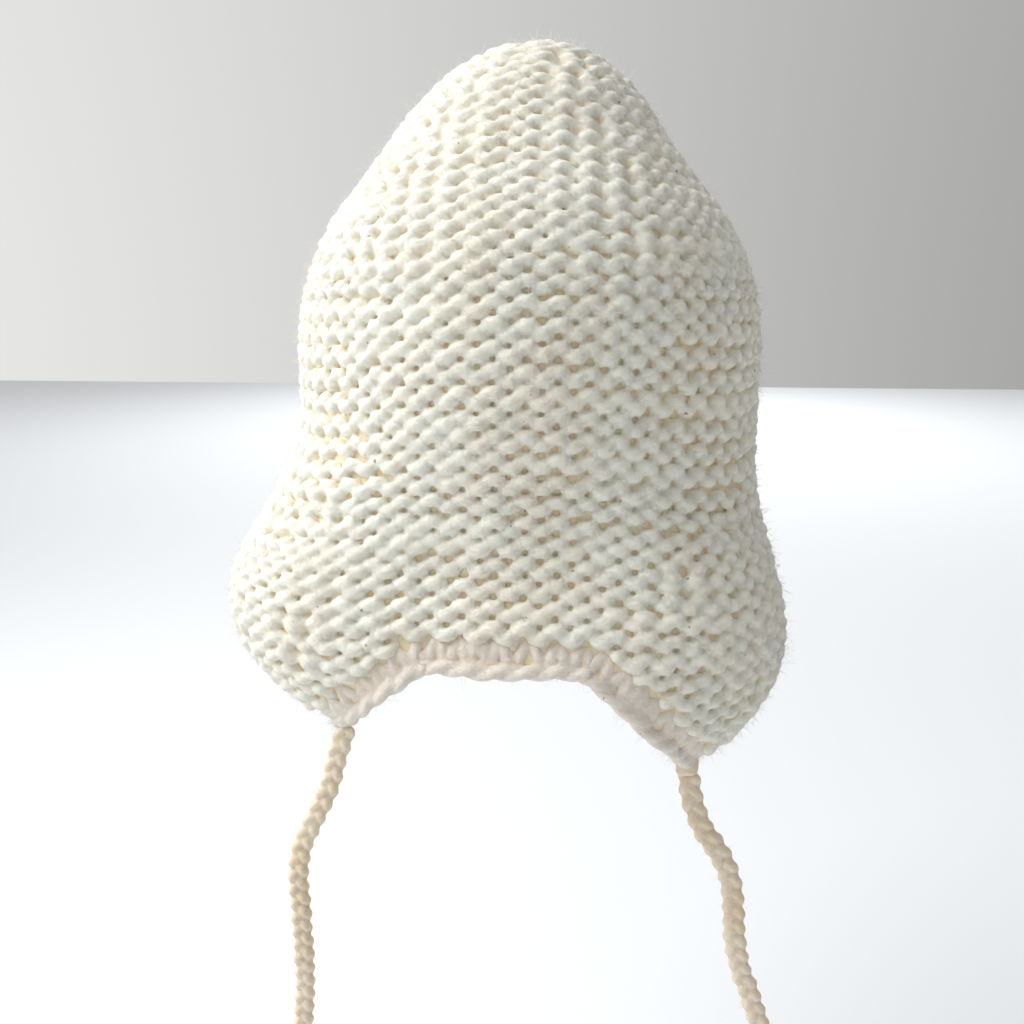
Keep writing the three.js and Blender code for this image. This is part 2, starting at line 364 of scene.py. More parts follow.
# %% Plaits
def strands_round(line, offsets, radius, facing, uneven=0.1):
    """Strands that keep to a line: offsets(k, along) gives each one's sideways and forward place."""
    along = lengths_along(line)
    forward = unit(np.gradient(line, axis=0))
    face = np.broadcast_to(np.asarray(facing, float), line.shape)
    face = unit(face - np.sum(face * forward, axis=1, keepdims=True) * forward)
    side = np.cross(forward, face)
    out = []
    for sideways, outward in offsets(along):
        place = line + side * sideways[:, None] + face * outward[:, None]
        thick = radius * (1 + wander(len(line), 5, uneven))
        out.append(Strand(place, thick, line, face))
    return out


def plait_offsets(along):
    swing = TIE_WIDTH / 2 - STRAND_RADIUS
    phases = [TURN * along / REPEAT + TURN * k / 3 for k in range(3)]
    return [(swing * PLAIT_SPREAD * np.sin(p), PLAIT_FLATNESS * swing * np.sin(2 * p)) for p in phases]


def make_tie(side, route):
    line = even_line(smooth_line(route, 12), 1.0)
    tie = spin(f"plait_{side}", strands_round(line, plait_offsets, STRAND_RADIUS, (0, -1, 0), 0.06))
    print(f"plait_{side} is {lengths_along(line)[-1]:.0f} mm long")
    return tie, line


ties = {side: make_tie(side, route) for side, route in TIE_ROUTES.items()}

# %% [markdown]
# ## The ends of the ties
# A plait is finished with an overhand knot, and the ends of its strands spread below it as a
# little tassel. The knot is the plait itself drawn into a clover-shaped loop, so three strands
# are twisted along the clover. The tassel's ends are free, and each hangs in its own slow curve.

# %% Knots
KNOT_INSET = 3.0  # half the thickness of the twisted strands, so that they stay in the knot's room
KNOT_TWIST_REACH = 1.35
KNOT_TWIST_PITCH = 14
KNOT_RADIUS = 1.75


def twist_offsets(count, reach, pitch):
    def offsets(along):
        angles = [TURN * (along / pitch + k / count) for k in range(count)]
        return [(reach * np.cos(a), reach * np.sin(a)) for a in angles]
    return offsets


def room_of(node):
    """The middle and the size of a node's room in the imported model, in millimetres."""
    low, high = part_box(node)
    return np.array((low + high) / 2) / MM, np.array(high - low) / MM


def make_knot(side):
    middle, size = room_of(f"tie_knot_{side}")
    t = np.linspace(0, TURN, 90)
    clover = np.column_stack([np.sin(t) + 2 * np.sin(2 * t), np.cos(t) - 2 * np.cos(2 * t),
                              -1.6 * np.sin(3 * t)])
    line = middle + clover * ((size / 2 - KNOT_INSET) / (3, 3, 1.6))
    twist = twist_offsets(3, KNOT_TWIST_REACH, KNOT_TWIST_PITCH)
    return spin(f"knot_{side}", strands_round(line, twist, KNOT_RADIUS, (0.02, 0, 1)))


knots = {side: make_knot(side) for side in ties}

# %% Tassels
TASSEL_STRANDS = 19
TASSEL_POINTS = 16
TASSEL_RADIUS = 1.5
TASSEL_TIP = 0.72  # of its thickness at the top
NECK_REACH = 2.0
SPREAD_REACH = 5.6
SPREAD_OVER = 20
GOLDEN_ANGLE = 2.4  # spreads the strands evenly over a disc


def make_tassel(side):
    middle, size = room_of(f"tassel_{side}")
    top = middle + (0, 0, size[2] / 2)
    count = TASSEL_POINTS
    strands = []
    for k in range(TASSEL_STRANDS):
        ring, angle = math.sqrt(k / TASSEL_STRANDS), GOLDEN_ANGLE * k
        toward = np.array([math.cos(angle), math.sin(angle), 0])
        down = np.linspace(0, size[2] - 0.5 - chance.uniform(0, 4), count)
        spread = ring * (NECK_REACH + SPREAD_REACH * np.minimum(1, down / SPREAD_OVER) ** 0.8)
        line = top + toward * spread[:, None] - np.outer(down, (0, 0, 1))
        line[:, :2] += np.column_stack([wander(count, 5, 0.35), wander(count, 5, 0.35)])
        radius = TASSEL_RADIUS * (1 + wander(count, 4, 0.08)) * np.linspace(1, TASSEL_TIP, count)
        strands.append(Strand(line, radius, np.repeat([middle], count, 0), np.repeat([toward], count, 0)))
    return spin(f"ends_{side}", strands, 3)


tassels = {side: make_tassel(side) for side in ties}

# %% The yarn that sews each tie on
WRAP_TURNS = 2.6
WRAP_RADIUS = 1.9


def make_wrap(side):
    """Yarn wound round the top of the plait, which sews it to the flap."""
    middle, size = room_of(f"tie_root_{side}")
    t = np.linspace(0, 1, 60)
    angle = TURN * WRAP_TURNS * t
    reach = size[0] / 2 - 2.0
    tall = size[2] / 2 - 1.8
    line = middle + np.column_stack([reach * np.cos(angle), reach * np.sin(angle), tall * (1 - 2 * t)])
    out = unit(line - middle)
    radius = WRAP_RADIUS * (1 + wander(len(t), 5, 0.06))
    return spin(f"wrap_{side}", [Strand(line, radius, line - out * 2, out)])


wraps = {side: make_wrap(side) for side in ties}

for side, (tie, line) in ties.items():
    for piece, body, node in [(tie, "tie", "tie"), (knots[side], "tie", "tie_knot"),
                              (tassels[side], "tie", "tassel"), (wraps[side], "root", "tie_root")]:
        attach(piece, f"{body}_{side}")
        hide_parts(f"{node}_{side}")
    print(f"tie_{side}: a cord {TIE_WIDTH} mm thick, with a knot and a tassel at its end")

# %% [markdown]
# ## The shape of the hat
# The fabric is one surface, given by two numbers: the azimuth round the head from the front, and
# the run, which is how far the knitting has come from the middle of the crown. Two lines down the
# hat give its shape. The plain one is the same at the front and the back, and each flap has its
# own, which flares out and curls in at its lower end. Each stitch is then placed on that surface.

# %% Meridians
WALL = 8
CROWN_LEAN = 4
LEAN_FROM = 150
CROWN_TOP = 190
DROP = 10
DROP_FROM = 110
DROP_OVER = 100
PLAIN = [
    (0, 190), (15, 188), (29, 181.5), (42, 169.5), (53, 155), (63, 142), (72.5, 130), (79.5, 117),
    (84, 104), (86.5, 87), (87, 68), (86, 50), (85, 34), (86, 20), (89.5, 8), (93, -3), (95, -14),
    (95, -26), (93, -40), (90, -54), (86, -68), (82, -80),
]
SHARED_POINTS = 11
FLAPS = {
    "left": {
        "below": [(88.5, 58), (95, 43), (103.5, 29), (112, 17), (116.5, 4), (116.5, -9), (111, -22),
                  (101, -35), (88.5, -45), (77, -52), (70, -54)],
        "front": 16, "point": 66, "back": 116, "flare": 58, "fade_front": 52, "fade_back": 48,
    },
    "right": {
        "below": [(87.5, 58), (89, 43), (93, 29), (99, 16), (104, 2), (106, -13), (104, -28),
                  (97, -43), (87, -56), (76, -65), (70, -68)],
        "front": 18, "point": 66, "back": 116, "flare": 56, "fade_front": 50, "fade_back": 46,
    },
}


class Meridian:
    def __init__(self, points):
        line = smooth_line(points, 60)
        self.radius, self.height = line.T
        self.along = lengths_along(line)

    def at(self, length):
        return np.interp(length, self.along, self.radius), np.interp(length, self.along, self.height)


plain = Meridian(PLAIN)
for flap in FLAPS.values():
    flap["meridian"] = Meridian(PLAIN[:SHARED_POINTS] + flap["below"])
    flap["end"] = flap["meridian"].along[-1] - DROP - 9
HEM_RUN = float(np.interp(0, -plain.height, plain.along)) + 2
print(f"the hem is {HEM_RUN:.0f} mm of knitting below the middle of the crown")

# %% Round the hat
def wrap(azimuth):
    return (np.asarray(azimuth, float) + math.pi) % TURN - math.pi


def degrees_from_front(azimuth):
    return np.abs(azimuth) * 360 / TURN


def both(azimuth, key):
    """A flap's value where the azimuth lies on its side of the hat."""
    return np.where(azimuth < 0, FLAPS["left"][key], FLAPS["right"][key])


def flap_length(run):
    length = np.array(run, float)
    for _ in range(6):
        x = np.clip((length - DROP_FROM) / DROP_OVER, 0, 1)
        length = run + DROP * x * x * (3 - 2 * x)
    return length


def flare_at(azimuth):
    """How far the fabric follows the flap's meridian here: 1 at the flap's middle, 0 away from it."""
    degrees = degrees_from_front(azimuth)
    middle = both(azimuth, "flare")
    fade = np.where(degrees < middle, both(azimuth, "fade_front"), both(azimuth, "fade_back"))
    return 0.5 + 0.5 * np.cos(math.pi * np.clip(np.abs(degrees - middle) / fade, 0, 1))

# %% The surface
def surface(azimuth, run):
    """The outer surface, in millimetres."""
    azimuth, run = np.broadcast_arrays(wrap(azimuth), np.asarray(run, float))
    flare = flare_at(azimuth)
    radius, height = plain.at(run)
    length = flap_length(run)
    left, right = FLAPS["left"]["meridian"].at(length), FLAPS["right"]["meridian"].at(length)
    radius = radius + flare * (np.where(azimuth < 0, left[0], right[0]) - radius)
    height = height + flare * (np.where(azimuth < 0, left[1], right[1]) - height)
    lean = CROWN_LEAN * np.clip((height - LEAN_FROM) / (CROWN_TOP - LEAN_FROM), 0, 1) ** 2
    return np.stack([radius * np.sin(azimuth) + lean, -radius * np.cos(azimuth), height], axis=-1)


SMALL_TURN = 0.01
HALF_STEP = 0.5


def normal_at(azimuth, run):
    across = surface(azimuth + SMALL_TURN, run) - surface(azimuth - SMALL_TURN, run)
    down = surface(azimuth, run + HALF_STEP) - surface(azimuth, run - HALF_STEP)
    return unit(np.cross(down, across))


low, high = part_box("knit_body")
check = surface(np.linspace(-3, 3, 200), np.full(200, HEM_RUN - 4.1))
print(f"half width of the surface {check[:, 0].max():.1f} mm, and of the packed model {high.x / MM:.1f} mm")

# %% The hem
def hem_run(azimuth):
    """The run at the lower edge, which drops to the points of the flaps."""
    azimuth = wrap(azimuth)
    degrees = degrees_from_front(azimuth)
    point = both(azimuth, "point")
    foot = np.where(degrees < point, both(azimuth, "front"), both(azimuth, "back"))
    x = np.clip((degrees - point) / (foot - point), 0, 1.15)
    share = 1 - (np.hypot(x, 0.25) - 0.25) / (np.hypot(1, 0.25) - 0.25)
    soft = 0.5 * (share + np.hypot(share, 0.05))
    return HEM_RUN + soft * (both(azimuth, "end") - HEM_RUN)


def above_hem(azimuth, distance):
    """The run that lies a distance above the hem, measured square to it."""
    azimuth = np.asarray(azimuth, float)
    run = hem_run(azimuth)
    here, there = azimuth - SMALL_TURN, azimuth + SMALL_TURN
    along = unit(surface(there, hem_run(there)) - surface(here, hem_run(here)))
    down = surface(azimuth, run + HALF_STEP) - surface(azimuth, run - HALF_STEP)
    square = np.linalg.norm(down - along * np.sum(down * along, axis=-1, keepdims=True), axis=-1)
    return run - distance / square


for side, sign in (("left", -1), ("right", 1)):
    point = surface(sign * math.radians(FLAPS[side]["point"]), FLAPS[side]["end"])
    print(f"the {side} flap ends {-point[2]:.0f} mm below the brow")

# %% [markdown]
# ## The knitted fabric
# With the purl side out, every stitch shows its two rounded ends. The yarn comes to the front at
# the top of a loop and again at the bottom between two loops, and goes to the back on its way up
# and down. So along one course its height is a wave, its depth is a wave twice as quick, and the
# courses above and below hold it where it is at the back.
# Each piece of fabric is felted by itself, and its neighbours' edge strands go in a little thinner,
# so that the skin of one piece dips under the skin of the next and no seam shows.
# A crown is shaped by knitting two stitches together at the same few places in each round, and so
# every course is divided into eight sectors that each hold a whole number of stitches.

# %% Gauge
STITCH = 9.6  # from one stitch to the next along a course
COURSE = 6.4  # from one course to the next
YARN_RADIUS = 2.1
LOOP_HEIGHT = 4.7  # from the middle of a course to the middle of the yarn at its top
LOOP_DEPTH = 1.6
RISING_FORWARD = 0.3  # the yarn is nearer the front where it rises than where it falls
LOOP_WAIST = 1.5
LOOP_LEAN = 0.04
POINTS_PER_STITCH = 18
CALM_FROM, CALM_TO = 40, 130  # runs between which the crown's flatter stitches give way
CALM_DEPTH = 0.55
SECTORS = 8
EASED = 3  # stitches next to a decrease, which share what is left of the sector's width
FIRST_RUN = 11.5
SMALLEST_RUN = 3.5
SMALLEST_RADIUS = 6
TUCK_SHORTER = 0.75  # of the lower half of a tucked loop
TUCK_DEEPER = 3.2
OVERLAP = 22  # points of a course that go on under the other side's, so that no seam shows
THINNER = 0.95
KNIT_VOXEL = 0.55
KNIT_TRIANGLES = 172_000
KNIT_ABOVE_HEM = 4.1
FLAP_ABOVE_HEM = 4.6
print(f"{100 / STITCH:.1f} stitches and {100 / COURSE:.1f} courses to 10 cm")

# %% Stitches along a course
def smooth_step(value, low, high):
    x = min(max((value - low) / (high - low), 0), 1)
    return x * x * (3 - 2 * x)


def sector_walk(run, sector):
    """Azimuths and stitch numbers along one sector of a course."""
    edges = np.linspace(sector, sector + 1, 33) * TURN / SECTORS - math.pi
    along = lengths_along(surface(edges, run))
    stitches = max(1, int(round(along[-1] / STITCH)))
    eased = min(EASED, stitches)
    widths = np.full(stitches, float(STITCH))
    widths[-eased:] += (along[-1] - stitches * STITCH) / eased
    if sector % 2:
        widths = widths[::-1]
    seams = np.concatenate([[0], np.cumsum(widths)])
    number = np.arange(stitches * POINTS_PER_STITCH) / POINTS_PER_STITCH
    at = np.interp(number, np.arange(stitches + 1), seams)
    return np.interp(at, along, edges), number

# %% One course
class Course:
    """The yarn of one course, all the way round the hat.

    A tucked course shows only the tops of its loops, as the last one does above a crochet edging.
    """

    def __init__(self, run, tucked=False):
        self.run, self.tucked = run, tucked
        walks = [sector_walk(run, sector) for sector in range(SECTORS)]
        azimuth, number = (np.concatenate(part) for part in zip(*walks))
        self.azimuth, self.half = azimuth, int(np.searchsorted(azimuth, 0))
        count = len(azimuth)
        calm = 1 - smooth_step(run, CALM_FROM, CALM_TO)
        phase = TURN * (number + 0.25)
        deep = 1 + calm * (CALM_DEPTH - 1)
        uneven = 1 + wander(count, POINTS_PER_STITCH * 0.6, 0.06)
        rise = LOOP_HEIGHT * np.cos(phase) * uneven + wander(count, 40, 0.13)
        shift = LOOP_WAIST * np.sin(2 * phase) + LOOP_LEAN * rise + wander(count, 20, 0.25)
        depth = (deep * (LOOP_DEPTH * np.cos(2 * phase) - RISING_FORWARD * np.sin(phase))
                 + wander(count, 14, 0.2))
        if tucked:
            below = np.clip(-np.cos(phase), 0, 1)
            rise = rise * (1 - TUCK_SHORTER * below)
            depth = depth - TUCK_DEEPER * below
        flat = surface(azimuth, run)
        place = azimuth + shift / np.maximum(np.hypot(flat[:, 0], flat[:, 1]), SMALLEST_RADIUS)
        height = np.maximum(run - rise, SMALLEST_RUN)
        self.out = normal_at(place, height)
        self.middle = surface(place, height) - self.out * WALL / 2
        self.points = self.middle + self.out * depth[:, None]
        self.radius = YARN_RADIUS * (1 + 0.07 * np.cos(2 * phase)
                                     + wander(count, POINTS_PER_STITCH * 1.3, 0.07))

    def strands(self, side, keep, thickness=1.0):
        """Its strands on one side of the hat. Each goes on a little, thinner, under the next side's."""
        count = len(self.azimuth)
        first, last = (0, self.half) if side == "left" else (self.half, count)
        window = np.arange(first - OVERLAP, last + OVERLAP)
        own = (window >= first) & (window < last)
        index = window % count
        inside = keep(self.azimuth[index])
        breaks = np.flatnonzero(np.diff(inside.astype(int))) + 1
        shortest = POINTS_PER_STITCH * (0.6 if self.tucked else 1)
        radius = self.radius[index] * np.where(own, 1, THINNER) * thickness
        parts = [part for part in np.split(np.arange(len(window)), breaks)
                 if inside[part[0]] and own[part].sum() >= shortest]
        return [Strand(self.points[index[part]], radius[part], self.middle[index[part]],
                       self.out[index[part]]) for part in parts]

# %% Crown, band and flaps
SIDES = ("left", "right")
ZONES = ("crown", "band", "flap")
CROWN_END = 122
BAND_END = 186
FLAP_COURSES = 13
SHORTEST_WALE = 3.5
last_full = HEM_RUN - KNIT_ABOVE_HEM - YARN_RADIUS - LOOP_HEIGHT + 1.0
course_count = int((last_full - FIRST_RUN) / COURSE)
runs = last_full - COURSE * np.arange(course_count, -FLAP_COURSES - 1, -1)


def zone_of(run):
    return "crown" if run < CROWN_END else "band" if run < BAND_END else "flap"


def knitted(run):
    """Where round the hat a course exists: everywhere down to the brow, then on the flaps."""
    if run < last_full + 1:
        return lambda azimuth: np.full(len(azimuth), True)
    return lambda azimuth: above_hem(azimuth, FLAP_ABOVE_HEM) > run + SHORTEST_WALE


def last_of_wale(run):
    """Where a course has only the crochet below it."""
    return lambda azimuth: knitted(run)(azimuth) & ~knitted(run + COURSE)(azimuth)


print(f"{course_count} courses from the crown to the brow, {FLAP_COURSES} more on the flaps")

# %% Knit all the courses
yarns = {(zone, side): [] for zone in ZONES for side in SIDES}
for run in runs:
    course = Course(run)
    for side in SIDES:
        yarns[zone_of(run), side] += course.strands(side, knitted(run))
        for beside in (run - COURSE, run + COURSE):
            if zone_of(beside) != zone_of(run):
                yarns[zone_of(beside), side] += course.strands(side, knitted(run), THINNER)
    if run > last_full - 1:
        tops = Course(run + COURSE, tucked=True)
        for side in SIDES:
            yarns["flap", side] += tops.strands(side, last_of_wale(run))
fabric = {(zone, side): spin(f"knit_{zone}_{side}", strands, voxel=KNIT_VOXEL, most=KNIT_TRIANGLES)
          for (zone, side), strands in yarns.items()}

# %% [markdown]
# ## Between the stitches
# Fibres of soft wool cling to each other across the gaps between stitches, so that little light
# comes through the fabric. A thin closed sheet in the middle of the fabric stands for them. It
# starts as a flat grid, which is laid on the surface and then given a thickness.

# %% The web of fibres
WEB_DEPTH = 3.6
WEB_THICKNESS = 0.6
WEB_LIFTS = (-1.3, -4.0)  # its outer face is a shaded hollow, and its inner face is the hat's inside
WEB_TOP = 8
WEB_BELOW_HEM = 4.5
INSIDE = (0, 0, 60 * MM)


def make_web(name, azimuths, run_at, rows):
    """A sheet between two azimuths; run_at(azimuth) gives the run at its lower edge."""
    first, last, top = azimuths
    columns = int(abs(last - first) * 360 / TURN / 2)
    shape = bmesh.new()
    bmesh.ops.create_grid(shape, x_segments=columns, y_segments=rows, size=0.5)
    flat = np.array([v.co for v in shape.verts])
    azimuth = first + (last - first) * (flat[:, 0] + 0.5)
    run = top + (run_at(azimuth) - top) * (0.5 - flat[:, 1])
    place = surface(azimuth, run) - normal_at(azimuth, run) * WEB_DEPTH
    for vert, at in zip(shape.verts, place * MM):
        vert.co = at
    bmesh.ops.remove_doubles(shape, verts=shape.verts, dist=0.01 * MM)
    bmesh.ops.solidify(shape, geom=shape.faces[:], thickness=WEB_THICKNESS * MM)
    bmesh.ops.recalc_face_normals(shape, faces=shape.faces[:])
    mesh = bpy.data.meshes.new(name)
    shape.to_mesh(mesh)
    shape.free()
    where = places(mesh)
    outward = np.sum((where - INSIDE) * normals(mesh), axis=1) > 0
    write_attribute(mesh, "yarn", "FLOAT_VECTOR", where / MM)
    # The sheet's outer face gets the lift of a hollow, and so the painted hollow shade; its inner face gets
    # none.
    write_attribute(mesh, "lift", "FLOAT", np.where(outward, *WEB_LIFTS))
    mesh.shade_smooth()
    return show(name, mesh, f"a sheet of {columns} by {rows}")


webs = {"hat": make_web("web_hat", (-math.pi, math.pi, WEB_TOP), lambda a: np.full_like(a, BAND_END), 60)}
for side, (first, last) in {"left": (-math.pi, 0), "right": (0, math.pi)}.items():
    webs[side] = make_web(f"web_{side}", (first, last, BAND_END),
                          lambda a: above_hem(a, -WEB_BELOW_HEM), 34)

# %% [markdown]
# ## The middle of the crown
# The last stitches are drawn together on the yarn's end, which then goes round once or twice more
# and disappears inside. That leaves a small tight swirl.

# %% Gather
GATHER_TURNS = 2.3
GATHER_RUN = 8.2
GATHER_RADIUS = 2.2


def make_gather():
    t = np.linspace(0, 1, 90)
    azimuth = TURN * GATHER_TURNS * t
    run = GATHER_RUN * (1 - t) ** 0.8 + 0.4
    out = normal_at(azimuth, np.maximum(run, 1.5))
    line = surface(azimuth, run) - out * (2.6 + 2.2 * t[:, None] ** 2)
    radius = GATHER_RADIUS * (1 + wander(len(t), 9, 0.06))
    return spin("crown_swirl", [Strand(line, radius, line - out * 2, out)])


gather = make_gather()

# %% [markdown]
# ## The crocheted edging
# The hem is finished with crochet. A row of upright stitches is worked into the knitting, and its
# own upper ends lie along the very edge as a chain, which looks like a two-stranded rope. The
# upright stitches are one yarn that goes up and down, and the chain is two yarns twisted together.

# %% The line that the edging keeps to
EDGING_BELOW_HEM = 1.2
EDGING_STEP = 0.45


def edging_frame(first, last):
    """Points along the middle of the edging, with the directions out of the fabric and down."""
    azimuth = np.linspace(first, last, 800)
    run = above_hem(azimuth, -EDGING_BELOW_HEM)
    line = surface(azimuth, run) - normal_at(azimuth, run) * WALL / 2
    along = lengths_along(line)
    at = np.arange(0, along[-1], EDGING_STEP)
    azimuth = np.interp(at, along, azimuth)
    line = np.column_stack([np.interp(at, along, line[:, k]) for k in range(3)])
    out = normal_at(azimuth, hem_run(azimuth))
    forward = unit(np.gradient(line, axis=0))
    out = unit(out - forward * np.sum(out * forward, axis=1, keepdims=True))
    return line, out, np.cross(forward, out), at

# %% Upright stitches and the chain
POST_PITCH = 7.6
POST_RISE = 4.2
POST_MIDDLE = -1.6  # down from the edging's middle
POST_DEPTH = -0.9
POST_RADIUS = 2.0
CHAIN_DROP = 3.7
CHAIN_PITCH = 18
CHAIN_RADIUS = 1.95
CHAIN_REACH = 0.95
CHAIN_FORWARD = 0.3


def make_edging(name, first, last):
    line, out, down, at = edging_frame(first, last)
    count = len(at)
    phase = TURN * (at + wander(count, 30, 1.2)) / POST_PITCH
    fall = POST_MIDDLE + POST_RISE * np.cos(phase) + wander(count, 14, 0.5)
    depth = POST_DEPTH - 0.9 * np.cos(2 * phase) + wander(count, 18, 0.2)
    posts = line + down * fall[:, None] + out * depth[:, None]
    strands = [Strand(posts, POST_RADIUS * (1 + wander(count, 20, 0.06)), line, out)]
    wobble = wander(count, 25, 0.25)
    for k in range(2):
        angle = TURN * (at / CHAIN_PITCH + k / 2)
        chain = (line + down * (CHAIN_DROP + wobble + CHAIN_REACH * np.cos(angle))[:, None]
                 + out * (CHAIN_FORWARD + CHAIN_REACH * np.sin(angle))[:, None])
        strands.append(Strand(chain, CHAIN_RADIUS * (1 + wander(count, 16, 0.08)), line, out))
    return spin(name, strands, 3)

# %% Round the brow, the nape and the flaps
CORNER_PAST = 2.2  # degrees that a flap's edging goes on past the flap
FLAP_STARTS = 3.5  # above the hem of the brow


def flap_corner(side, end):
    """The azimuth where a flap's edging starts or stops: a little past where the flap is deep enough."""
    sign = -1 if side == "left" else 1
    deep = np.arange(FLAPS[side]["front"], FLAPS[side]["back"], 0.5)
    there = above_hem(sign * deep * TURN / 360, FLAP_ABOVE_HEM) > HEM_RUN - FLAP_STARTS
    edge = deep[there][0] - CORNER_PAST if end == "front" else deep[there][-1] + CORNER_PAST
    return sign * edge * TURN / 360


corners = {(side, end): flap_corner(side, end) for side in FLAPS for end in ("front", "back")}
edging = {
    "front": make_edging("edge_front", corners["left", "front"], corners["right", "front"]),
    "back": make_edging("edge_back", corners["right", "back"], TURN + corners["left", "back"]),
    "flap_left": make_edging("edge_flap_left", corners["left", "back"], corners["left", "front"]),
    "flap_right": make_edging("edge_flap_right", corners["right", "front"], corners["right", "back"]),
}

# %% [markdown]
# ## Fuzz
# Softly spun wool keeps a halo of loose fibres. Each one here is a hair that leaves the yarn's
# surface, bends over and thins out. They are set at random places on the front of the strands, and
# belong to the same piece of the hat as the yarn that they grow from.

# %% Loose fibres
FIBRE_RADII = 0.06 * np.array([1, 0.8, 0.35])  # at its root, its bend and its tip
FIBRE_ROOT = 0.3  # how deep it starts
FIBRE_SAG = np.array([0, 0, -0.12])
OUTER_LIFT = 1.2  # fibres grow where the yarn stands out at least this far


def outer_skin(piece):
    """The places and normals of a piece's outer side, in millimetres."""
    mesh = piece.data
    lift = np.empty(len(mesh.vertices))
    mesh.attributes["lift"].data.foreach_get("value", lift)
    outer = lift > OUTER_LIFT
    return places(mesh)[outer] / MM, normals(mesh)[outer]


def make_fuzz(name, pieces, count, length):
    """Loose fibres on the outer side of some pieces."""
    roots, facing = (np.vstack(part) for part in zip(*[outer_skin(piece) for piece in pieces]))
    chosen = chance.choice(len(roots), min(count, len(roots)), replace=False)
    roots, facing = roots[chosen], facing[chosen]
    bend = unit(chance.normal(size=roots.shape))
    reach = length * chance.uniform(0.4, 1.0, (len(roots), 1)) ** 2
    steps = np.linspace(0, 1, len(FIBRE_RADII))[:, None, None]
    lines = (roots - facing * FIBRE_ROOT + facing * reach * (steps * 0.6)
             + bend * reach * (0.3 * steps + 0.7 * steps**2) + FIBRE_SAG * reach * steps**2)
    fibres = lines.shape[1]
    mesh = tubes(name, [lines[:, k] for k in range(fibres)], [FIBRE_RADII] * fibres, 0)
    return show(name, mesh, f"{fibres} fibres")

# %% A halo for each piece of fabric, edging and tie
KNIT_FIBRES, KNIT_FIBRE_LENGTH = 5000, 4.0
EDGE_FIBRES, BROW_FIBRES, EDGE_FIBRE_LENGTH = 900, 300, 4
TIE_FIBRES, TIE_FIBRE_LENGTH = 1100, 3
fuzz = {key: make_fuzz(f"{piece.name}_fuzz", [piece] + ([gather] if key == ("crown", "left") else []),
                       KNIT_FIBRES, KNIT_FIBRE_LENGTH)
        for key, piece in fabric.items()}
edge_fuzz = {key: make_fuzz(f"{piece.name}_fuzz", [piece], BROW_FIBRES if key == "front" else EDGE_FIBRES,
                            EDGE_FIBRE_LENGTH)
             for key, piece in edging.items()}
tie_fuzz = {side: make_fuzz(f"plait_fuzz_{side}", [tie], TIE_FIBRES, TIE_FIBRE_LENGTH)
            for side, (tie, _) in ties.items()}

# %% [markdown]
# ## Wool
# Undyed wool is matt and a little translucent. Four things colour it: fine streaks where the
# fibres run along the strand, slow changes from one length of fleece to the next, a painted warm tan
# in the hollows for their shade and the light bounced there, and a few dark specks of grass seed.
# A flat cream would look like plastic, and painting each vertex would be too coarse. So all the
# pieces share one effect, which reads the attributes yarn and lift, and the shader itself stays in
# each material.

# %% Nodes in short
def add_node(tree, kind, **settings):
    made = tree.nodes.new(kind)
    for key, value in settings.items():
        setattr(made, key, value)
    return made


def noise(tree, vector, scale, detail):
    made = add_node(tree, "ShaderNodeTexNoise")
    made.inputs["Scale"].default_value = scale
    made.inputs["Detail"].default_value = detail
    tree.links.new(vector, made.inputs["Vector"])
    return made.outputs["Fac"]


def ramp(tree, value, low, high, start=0.0, stop=1.0):
    made = add_node(tree, "ShaderNodeMapRange", interpolation_type="SMOOTHSTEP")
    for key, number in zip(("From Min", "From Max", "To Min", "To Max"), (low, high, start, stop)):
        made.inputs[key].default_value = number
    tree.links.new(value, made.inputs["Value"])
    return made.outputs["Result"]


def fill(tree, node, values):
    """Gives a node's inputs, by number, either a link or a fixed value."""
    for number, value in values.items():
        if isinstance(value, bpy.types.NodeSocket):
            tree.links.new(value, node.inputs[number])
        else:
            node.inputs[number].default_value = value
    return node


def mix(tree, mask, first, second):
    made = add_node(tree, "ShaderNodeMix", data_type="RGBA")
    return fill(tree, made, {0: mask, 6: first, 7: second}).outputs[2]


def calculate(tree, operation, *values):
    made = add_node(tree, "ShaderNodeMath", operation=operation)
    return fill(tree, made, dict(enumerate(values))).outputs[0]

# %% The shared effect
PALE_STREAK = (0.95, 0.94, 0.89, 1)
SPECK = (0.12, 0.08, 0.05, 1)
DRAWN_OUT = (0.14, 1, 1)  # stretches the noise along the yarn


def effect_sockets(tree):
    for name, kind in [("Yarn", "NodeSocketVector"), ("Lift", "NodeSocketFloat"),
                       ("Place", "NodeSocketVector"), ("Fleece", "NodeSocketColor"),
                       ("Warm Fleece", "NodeSocketColor"), ("Hollow Shade", "NodeSocketColor")]:
        tree.interface.new_socket(name=name, in_out="INPUT", socket_type=kind)
    tree.interface.new_socket(name="Color", in_out="OUTPUT", socket_type="NodeSocketColor")
    tree.interface.new_socket(name="Height", in_out="OUTPUT", socket_type="NodeSocketFloat")


